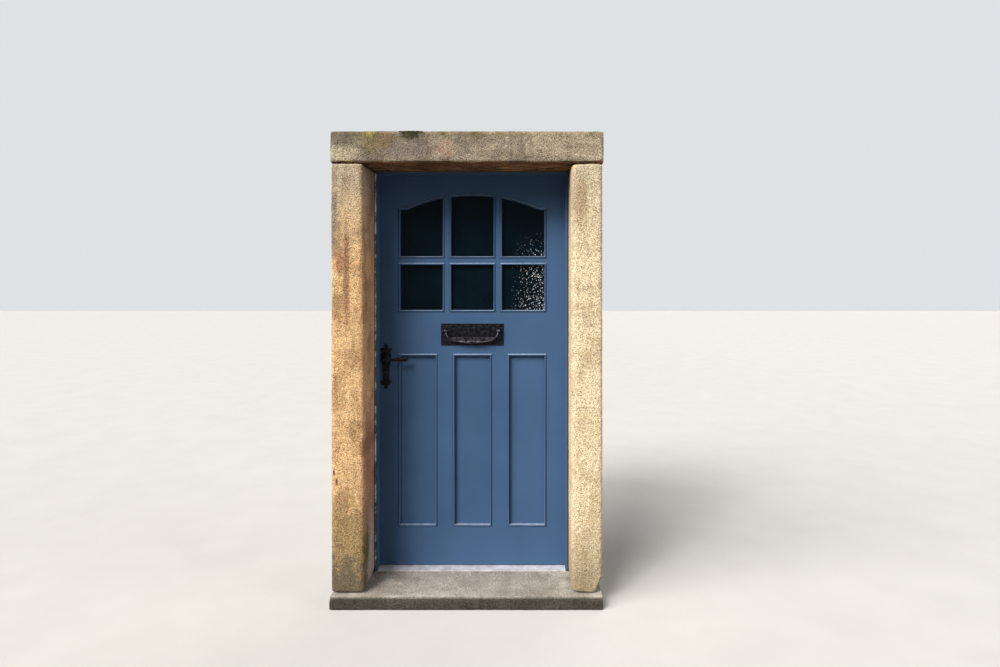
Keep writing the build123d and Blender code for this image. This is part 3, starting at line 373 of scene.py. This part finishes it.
def obscured_glass():
    """Rippled glass, near black as painted shade for the dark inside behind it. Its pebbles carry painted
    glints in the lower right of the lites.
    """
    glass = Shader("obscured_glass")
    place = glass.place()
    ripple = glass.noise(glass.place(scale=(1, 1, 0.7)), scale=48, detail=3, roughness=0.6, distortion=1.6)
    pebbles = glass.cells(glass.place(scale=(1.2, 1, 0.85)), "SMOOTH_F1", scale=140)
    rightwards = glass.span(glass.axis(place, "X"), *PAINTED_GLINTS_RIGHT)
    glint_and_relief_area = glass.times(rightwards, glass.span(glass.axis(place, "Z"), *PAINTED_GLINTS_DOWN))
    # Painted shade: the glass is coloured near black for the unlit inside behind it.
    tone = glass.ramp(glass.noise(place, scale=9, detail=4), (0.35, rgb(3, 16, 24)), (0.7, rgb(6, 24, 33)))
    some = glass.plus(glass.noise(place, scale=85, detail=2), glass.times(glint_and_relief_area, 0.22))
    # Painted glints: near-white specks in the colour, on pebbles towards the lower right.
    painted_glints = glass.times(glass.ramp(pebbles, (0.14, 1), (0.34, 0)), glass.span(some, 0.57, 0.67))
    painted_glints = glass.times(painted_glints, glass.span(glint_and_relief_area, 0.06, 0.6))
    glass.colour(glass.mix(painted_glints, tone, rgb(240, 244, 246)))
    glass.set(roughness=0.2, ior=1.45, alpha=0.96, specular=0.02)
    relief = glass.plus(ripple, glass.times(pebbles, 0.7))
    relief = glass.times(relief, glass.plus(glass.times(glint_and_relief_area, 0.8), 0.35))
    glass.bump(relief, distance=4 * MM, strength=0.8)
    return glass.material


def sandstone(name, light, dark, stain, stain_amount, top=None, moss_amount=0.0, foot=0.0,
              patches=(), across=None, turned=()):
    """Pecked sandstone: bedding, punched pits, grains and brown stains, then what each stone adds.

    Top is the colour that its upper part weathers to, foot how damp its foot is, and moss_amount how
    much moss its top carries. Each patch is a spot, its half sizes, its colour, how much of it and how
    fine its edge is. Across is where a tint from the left starts and ends, and the tint. Each entry of
    turned is an axis, the part of it where the tint starts and is full, and the tint of faces that way.
    """
    stone = Shader(name)
    place = stone.place()
    height = stone.axis(place, "Z")
    bedding = stone.noise(stone.place(scale=(1, 1, 2.6)), scale=8, detail=6, roughness=0.65, distortion=0.6)
    grit = stone.noise(place, scale=260, detail=3, roughness=0.75)
    blotch = stone.noise(place, scale=6.5, detail=5, roughness=0.6)
    streak = stone.noise(stone.place(scale=(8, 8, 1.1)), scale=3.2, detail=5, roughness=0.6, distortion=0.8)
    pecks = stone.cells(place, "F1", scale=125, randomness=1)
    patchy = stone.ramp(stone.noise(place, scale=22, detail=4, roughness=0.7), (0.4, 0.35), (0.62, 1))
    pit = stone.times(stone.ramp(pecks, (0.12, 1), (0.42, 0)), patchy)

    tone = stone.ramp(bedding, (0.32, dark), (0.66, light))
    if top:
        ragged = stone.plus(height, stone.times(blotch, 0.5))
        tone = stone.mix(stone.span(ragged, *WEATHERED_UP), tone, top)
    stains = stone.ramp(stone.times(blotch, stone.plus(streak, 0.5)), (0.46, 0), (0.62, 1))
    tone = stone.mix(stone.times(stains, stain_amount), tone, stain)
    if across:
        start, end, tint = across
        leftwards = stone.span(stone.axis(place, "X"), end, start)
        tone = stone.mix(leftwards, tone, stone.tint(tone, tint))
    if foot:
        ragged = stone.plus(height, stone.times(blotch, 0.28))
        damp = stone.math("SUBTRACT", 1.0, stone.span(ragged, *DRY_UP), clamp=True)
        tone = stone.mix(stone.times(damp, foot), tone, rgb(104, 94, 68))
    for spot, size, colour, amount, grain in patches:
        tone = stone.mix(stone.times(stone.patch(spot, size, grain), amount), tone, colour)
    # Painted shade: the pecked pits are darkened in the colour.
    tone = stone.mix(stone.times(pit, 0.7), tone, dimmed(dark, 0.3))
    tone = stone.tint(tone, stone.ramp(grit, (0.4, 0.34), (0.62, 1.4)), 0.85)
    # Faces turned one way take a tint; on the left jamb's reveal and the step's front it is painted shade.
    for letter, start, full, tint in turned:
        tinted = stone.tint(tone, tint)
        if letter == "Z":
            ledges = stone.noise(stone.place(scale=(1, 9, 9)), scale=8, detail=5, roughness=0.7)
            tinted = stone.tint(tinted, stone.ramp(ledges, (0.38, 0.35), (0.62, 1.8)))
        tone = stone.mix(stone.span(stone.facing(letter), start, full), tone, tinted)
    if moss_amount:
        growth = stone.ramp(stone.noise(place, scale=16, detail=6, roughness=0.7), (0.5, 0), (0.6, 1))
        upwards = stone.span(stone.facing("Z"), 0.1, 0.9)
        near_top = stone.span(height, *MOSSY_UP)
        cover = stone.times(growth, stone.math("ADD", upwards, near_top, clamp=True))
        tone = stone.mix(stone.times(cover, moss_amount), tone, rgb(96, 90, 52))

    stone.colour(tone)
    stone.set(roughness=0.92, specular=0.25)
    relief = stone.math("SUBTRACT", stone.times(grit, 0.5), pit)
    stone.bump(stone.plus(relief, stone.times(bedding, 0.8)), distance=3.5 * MM, strength=0.8)
    return stone.material


def mastic():
    """Old mastic: pale and broken down the left side, grimed elsewhere."""
    bead = Shader("mastic")
    place = bead.place()
    cloud = bead.noise(place, scale=14, detail=5, roughness=0.7)
    left = bead.times(bead.span(bead.axis(place, "X"), *PALE_LEFT),
                      bead.span(bead.axis(place, "Z"), *PALE_DOWN))
    pale = bead.times(bead.span(cloud, 0.45, 0.58), left)
    bead.colour(bead.mix(pale, rgb(58, 52, 46), rgb(200, 194, 182)))
    bead.set(roughness=0.7)
    bead.bump(cloud, distance=1 * MM, strength=0.7)
    return bead.material


def green_moss():
    moss = Shader("moss")
    place = moss.place()
    cloud = moss.noise(place, scale=240, detail=3)
    moss.colour(moss.ramp(cloud, (0.35, rgb(34, 34, 16)), (0.65, rgb(92, 92, 40))))
    moss.set(roughness=0.95)
    moss.bump(moss.noise(place, scale=900, detail=2), distance=0.5 * MM, strength=0.8)
    return moss.material


def pale_floor():
    """Looks pale in the picture and lights the object as paving."""
    pale = Shader("floor")
    cloud = pale.noise(pale.place(), scale=3, detail=3)
    tone = pale.ramp(cloud, (0.3, rgb(206, 204, 200)), (0.7, rgb(211, 209, 205)))
    pale.colour(pale.mix(picture_rays(pale.tree), PAVING, tone))
    pale.set(roughness=0.9)
    return pale.material


# Stains, lichen, moss and damp where the stones carry them, and a painted highlight on the right jamb.
LEFT_JAMB_PATCHES = (
    ((-0.6, 1.71), (0.035, 0.14), rgb(136, 118, 108), 0.75, 30),
    ((-0.53, 1.47), (0.017, 0.23), rgb(112, 60, 54), 0.65, 110),
    ((-0.56, 1.515), (0.022, 0.05), rgb(160, 98, 72), 0.55, 60),
    ((-0.45, 0.7), (0.03, 0.045), rgb(116, 70, 44), 0.65, 90),
    ((-0.585, 0.593), (0.005, 0.013), rgb(70, 50, 30), 0.9, 20),
    ((-0.573, 0.553), (0.005, 0.016), rgb(70, 50, 30), 0.9, 20),
    ((-0.52, 0.28), (0.4, 0.18), rgb(152, 130, 86), 0.8, 22),
    ((-0.52, 0.04), (0.4, 0.2), rgb(100, 93, 75), 0.92, 26),
    ((-0.462, 0.12, 0.55), (0.03, 0.13, 0.3), rgb(176, 130, 108), 0.6, 14),
    ((-0.462, 0.17, 0.16), (0.04, 0.11, 0.26), rgb(206, 192, 176), 0.85, 40),
    ((-0.458, 0.06, 0.25), (0.03, 0.055, 0.09), rgb(74, 82, 30), 0.85, 40),
)
RIGHT_JAMB_PATCHES = (
    ((0.5, 1.79), (0.035, 0.12), rgb(170, 140, 108), 0.6, 24),
    # Painted highlight: a pale strip down the right jamb's inner arris, where its reveal catches the light.
    ((0.448, 1.1), (0.014, 1.2), rgb(250, 236, 204), 0.5, 12),
    ((0.55, 1.24), (0.008, 0.006), rgb(110, 84, 60), 0.8, 20),
)
LINTEL_PATCHES = (
    ((-0.55, 1.99), (0.08, 0.04), rgb(214, 198, 160), 0.6, 30),
    ((-0.35, 0, 2.05), (0.05, 0.06, 0.05), rgb(132, 108, 78), 0.6, 34),
    ((-0.27, 2.01), (0.1, 0.05), rgb(132, 120, 112), 0.65, 24),
    ((-0.1, 2.02), (0.05, 0.045), rgb(184, 144, 122), 0.4, 30),
    ((-0.42, 0, 2.04), (0.06, 0.07, 0.045), rgb(140, 126, 80), 0.55, 26),
    ((-0.434, 0, 2.086), (0.037, 0.05, 0.016), rgb(166, 156, 76), 0.8, 70),
    ((-0.245, 0, 2.083), (0.055, 0.07, 0.026), rgb(40, 40, 22), 0.95, 45),
)

# Iron that hands and weather keep brighter than the plates and levers; its paler tone is partly a painted
# highlight.
HANDLED_AND_HIGHLIT = {"knocker", "knocker_pins"}


def make_finishes():
    """One material for each slot of the record, and one for handled iron, paler partly as a painted
    highlight.
    """
    return {
        "blue_paint": blue_paint(),
        "black_iron": hammered_iron(
            "hammered_iron", dark=rgb(9, 8, 11), pale=rgb(40, 39, 45), roughness=0.4,
            distance=1.6 * MM, metallic=0.12),
        # Handled iron: worn brighter, and paler partly as a painted highlight.
        "handled_highlit_iron": hammered_iron(
            "handled_highlit_iron", dark=rgb(34, 32, 36), pale=rgb(84, 82, 90), roughness=0.32,
            distance=0.8 * MM, metallic=0.5),
        "obscured_glass": obscured_glass(),
        "steel": plain_metal("dull_steel", (0.42, 0.42, 0.43, 1), roughness=0.38),
        "brass": plain_metal("dull_brass", (0.62, 0.45, 0.2, 1), roughness=0.36),
        "sill_metal": plain_metal("sill_metal", rgb(226, 224, 232), roughness=0.5, metallic=0.15),
        "mastic": mastic(),
        "ochre_stone": sandstone(
            "ochre_stone", light=rgb(242, 202, 150), dark=rgb(214, 170, 120),
            stain=rgb(132, 92, 62), stain_amount=0.5,
            top=rgb(194, 178, 149), patches=LEFT_JAMB_PATCHES,
            # Painted shade: the faces turned to the right, the left jamb's reveal, are darkened.
            turned=(("X", 0.5, 0.9, (0.9, 0.84, 0.9, 1)),)),
        "pale_stone": sandstone(
            "pale_stone", light=rgb(248, 227, 190), dark=rgb(232, 208, 168),
            stain=rgb(182, 152, 112), stain_amount=0.4,
            top=rgb(208, 192, 160), foot=0.55, patches=RIGHT_JAMB_PATCHES),
        "lintel_stone": sandstone(
            "lintel_stone", light=rgb(206, 188, 160), dark=rgb(154, 138, 116),
            stain=rgb(110, 98, 82), stain_amount=0.6,
            moss_amount=0.8, patches=LINTEL_PATCHES, across=(-0.65, 0.7, (0.5, 0.51, 0.55, 1)),
            turned=(("Z", -0.35, -0.8, (0.85, 0.52, 0.34, 1)),)),
        "grey_stone": sandstone(
            "grey_stone", light=rgb(202, 194, 184), dark=rgb(163, 155, 144),
            stain=rgb(126, 117, 105), stain_amount=0.4,
            # The step's front is darkened, partly as grime and partly as painted shade.
            turned=(("Y", -0.3, -0.9, (0.17, 0.162, 0.14, 1)),)),
    }


def dress_nodes():
    """Every node takes the finish of its slot in the record, and is shaded smooth where it is curved."""
    finishes = make_finishes()
    for part in frame["record"]["subparts"]:
        obj = nodes[part["node"]]
        slot = "handled_highlit_iron" if part["node"] in HANDLED_AND_HIGHLIT else part["material_slot"]
        obj.data.materials.clear()
        obj.data.materials.append(finishes[slot])
    for obj in nodes.values():
        smooth(obj, CAD_SHARP)


def weathered(name, passes, worn, grain, seed, cell=6.5 * MM, ragged=0.0):
    """Stands for a dressed stone: its faces undulate, its arrises are worn round and its skin is pecked.

    The stone is remeshed in cells of the given size, and its arrises are smoothed away in as many
    passes. worn(place) is how far a pass goes there, from 0 to 1. Grain is how deep the pecks are, and
    ragged how deep the underside has broken away in ledges. All of it only takes stone away.
    """
    stone = link(bpy.data.objects.new("worn_" + name, nodes[name].data.copy()))
    remesh = stone.modifiers.new("even", "REMESH")
    remesh.mode = "VOXEL"
    remesh.voxel_size = cell
    shaped = bpy.data.meshes.new_from_object(stone.evaluated_get(bpy.context.evaluated_depsgraph_get()))
    stone.modifiers.clear()
    stone.data = shaped

    # Smoothing: each point moves towards the middle of its neighbours
    count = len(shaped.vertices)
    places = np.empty(count * 3)
    shaped.vertices.foreach_get("co", places)
    places = places.reshape(-1, 3)
    ends = np.empty(len(shaped.edges) * 2, dtype=int)
    shaped.edges.foreach_get("vertices", ends)
    first, second = ends.reshape(-1, 2).T
    neighbours = np.bincount(first, minlength=count) + np.bincount(second, minlength=count)
    wear = np.array([worn(Vector(place)) for place in places])[:, None]
    for _ in range(passes):
        total = np.zeros_like(places)
        np.add.at(total, first, places[second])
        np.add.at(total, second, places[first])
        places += wear * (total / neighbours[:, None] - places)
    shaped.vertices.foreach_set("co", places.ravel())
    shaped.update()

    # Undulation, pecks and ledges, taken off against each point's normal
    outward = np.empty(count * 3)
    shaped.vertex_normals.foreach_get("vector", outward)
    outward = outward.reshape(-1, 3)
    shift = Vector((seed, seed, seed))
    taken = np.empty(count)
    for index, place in enumerate(places):
        place = Vector(place)
        wave = 0.5 + 0.5 * noise.noise(place * WAVES + shift)
        peck = (max(0.0, noise.noise(place * FINE_PECKS + shift))
                + COARSE_DEPTH * max(0.0, noise.noise(place * COARSE_PECKS - shift)))
        broken = 0.0
        if ragged and outward[index][2] < LEDGE_NORMAL:
            layered = Vector((place.x * LEDGES_ALONG, place.y * LEDGES_DEEP, place.z * LEDGES_DEEP))
            broken = ragged * clamp(LEDGE_BREAK * noise.noise(layered + shift)) * clamp(place.y / LEDGE_LIP)
        bedded = clamp((place.y - BEDDED_FROM) / (BEDDED_TO - BEDDED_FROM))
        taken[index] = (HOLLOW * wave + grain * peck + broken) * (1 - bedded)
    shaped.vertices.foreach_set("co", (places - outward * taken[:, None]).ravel())
    shaped.update()

    smooth(stone)
    shaped.materials.clear()
    shaped.materials.append(nodes[name].data.materials[0])
    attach(stone, "surround")
    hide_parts(name)


def make_stones():
    """The left jamb is worn rounder towards its foot, the right one all the way down its inner arris."""
    weathered("stone_jamb_left", passes=10, grain=2.2 * MM, seed=3,
              worn=lambda at: 0.25 + 0.6 * max(0.0, 1 - at.z / ROUNDED_BELOW))
    weathered("stone_jamb_right", passes=14, grain=2.2 * MM, seed=11,
              worn=lambda at: 0.85 if at.x < ROUNDED_LEFT_OF else 0.35)
    weathered("stone_lintel", passes=6, grain=2.4 * MM, seed=23, worn=lambda at: 0.35, ragged=9 * MM)
    weathered("doorstep", passes=8, grain=1.8 * MM, seed=37, worn=lambda at: 0.5, cell=7.5 * MM)


def make_beads(name, outlines):
    """A bead planted round each opening, over the leaf's own moulding and a little proud of its face.

    Each outline is a closed line of (x, z), run so that the opening is on its left.
    """
    shape = bmesh.new()
    for outline in outlines:
        points = [Vector(point) for point in outline]
        rings = []
        for index, point in enumerate(points):
            before = (point - points[index - 1]).normalized()
            after = (points[(index + 1) % len(points)] - point).normalized()
            inward = Vector((-before.y - after.y, before.x + after.x))
            inward /= inward.length_squared / 2
            rings.append([
                shape.verts.new((point.x + inset * inward.x, LEAF_FACE + depth, point.y + inset * inward.y))
                for inset, depth in BEAD])
        for ring, following in zip(rings, rings[1:] + rings[:1]):
            for index in range(len(BEAD)):
                beside = (index + 1) % len(BEAD)
                shape.faces.new((ring[index], following[index], following[beside], ring[beside]))
    bmesh.ops.recalc_face_normals(shape, faces=shape.faces)
    beads = add_mesh(name, shape, nodes["panel_left"].data.materials[0])
    smooth(beads, BEAD_SHARP)
    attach(beads, "leaf")


def arch_height(across):
    """The height of the lites' arched head: flat shoulders, eased into a shallow arc."""
    across = abs(across)
    centre = ARCH_CROWN - ARCH_RADIUS
    eased = ((ARCH_RADIUS + ARCH_EASE) ** 2 - (ARCH_SHOULDER + ARCH_EASE - centre) ** 2) ** 0.5
    if across >= eased:
        return ARCH_SHOULDER
    if across >= eased * ARCH_RADIUS / (ARCH_RADIUS + ARCH_EASE):
        return ARCH_SHOULDER + ARCH_EASE - (ARCH_EASE ** 2 - (across - eased) ** 2) ** 0.5
    return centre + (ARCH_RADIUS ** 2 - across ** 2) ** 0.5


def make_mouldings():
    """Beads round the three panels, the three square lites and the three under the arch."""
    panels, lites = [], []
    for column in (-1, 0, 1):
        left, right = column * PANEL_STEP - PANEL_HALF, column * PANEL_STEP + PANEL_HALF
        panels.append([(left, PANEL_LOW), (right, PANEL_LOW), (right, PANEL_HIGH), (left, PANEL_HIGH)])
        left, right = column * LITE_STEP - LITE_HALF, column * LITE_STEP + LITE_HALF
        lites.append([(left, LITE_LOW), (right, LITE_LOW), (right, LITE_MID), (left, LITE_MID)])
        head = [right + (left - right) * step / (ARCH_POINTS - 1) for step in range(ARCH_POINTS)]
        arch = [(across, arch_height(across)) for across in head]
        lites.append([(left, LITE_BAR), (right, LITE_BAR)] + arch)
    make_beads("panel_beads", panels)
    make_beads("lite_beads", lites)


def make_moss():
    """A tuft of moss that hangs on the lintel's top arris, left of its middle."""
    chance = random.Random(5)
    shape = bmesh.new()
    for _ in range(MOSS_COUNT):
        along = chance.triangular(-1, 1)
        down = chance.random() ** 2 * (1 - abs(along)) * MOSS_DROP
        depth = chance.uniform(*MOSS_DEPTHS) + MOSS_LEAN * down
        place = Vector((MOSS_MIDDLE + MOSS_HALF * along, depth, MOSS_TOP - down))
        size = chance.uniform(*MOSS_SIZES)
        turn = Matrix.Rotation(chance.uniform(0, 6), 4, "Y")
        flat = Matrix.Diagonal([size * part for part in MOSS_SHAPE] + [1])
        bmesh.ops.create_icosphere(
            shape, subdivisions=1, radius=1, matrix=Matrix.Translation(place) @ turn @ flat)
    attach(add_mesh("moss", shape, green_moss()), "surround")


def make_floor():
    shape = bmesh.new()
    bmesh.ops.create_grid(shape, x_segments=1, y_segments=1, size=FLOOR_HALF)
    add_mesh("floor", shape, pale_floor())


make_camera()
make_lights()
make_world()
make_floor()
dress_nodes()
make_stones()
make_mouldings()
make_moss()
